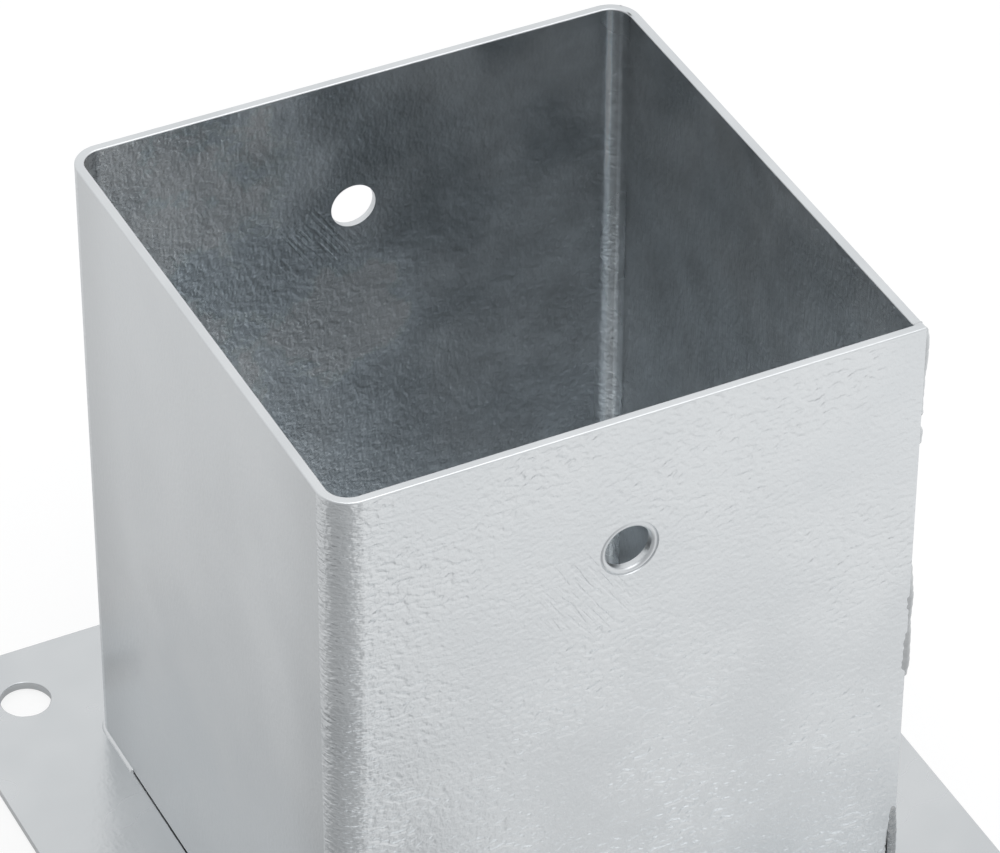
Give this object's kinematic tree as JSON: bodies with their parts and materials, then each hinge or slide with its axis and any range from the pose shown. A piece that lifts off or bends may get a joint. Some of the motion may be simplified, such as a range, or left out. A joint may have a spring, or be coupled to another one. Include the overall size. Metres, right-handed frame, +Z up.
{
  "type": "timber post base",
  "caption": "Square sleeve folded from sheet steel and welded to a square base plate, to bolt the foot of a timber post down to concrete.",
  "frame": {"origin": "centre of the base plate's underside, on the ground", "axes": "+Z up out of the sleeve's open top; the holes for the post bolt are in the -Y and +Y walls; the welded seam is at the (+X, -Y) corner"},
  "size_m": [0.18, 0.18, 0.15],
  "materials": {
    "zinc_sheet": "hot-dip galvanised sheet, dull satin with a fine wrinkle and small pits",
    "zinc_plate": "hot-dip galvanised sheet, smooth dull satin",
    "zinc_weld": "weld metal under zinc, glossier than the sheet, with fine ripples"
  },
  "bodies": {
    "root": {"base_plate": "zinc_plate", "sleeve": "zinc_sheet", "foot_weld_front_left": "zinc_weld", "foot_weld_back_left": "zinc_weld", "foot_weld_back_right": "zinc_weld", "foot_weld_front_right": "zinc_weld", "seam_weld_top": "zinc_weld", "seam_weld_tack": "zinc_weld", "seam_weld_middle": "zinc_weld", "seam_weld_bottom": "zinc_weld"}
  },
  "joints": []
}
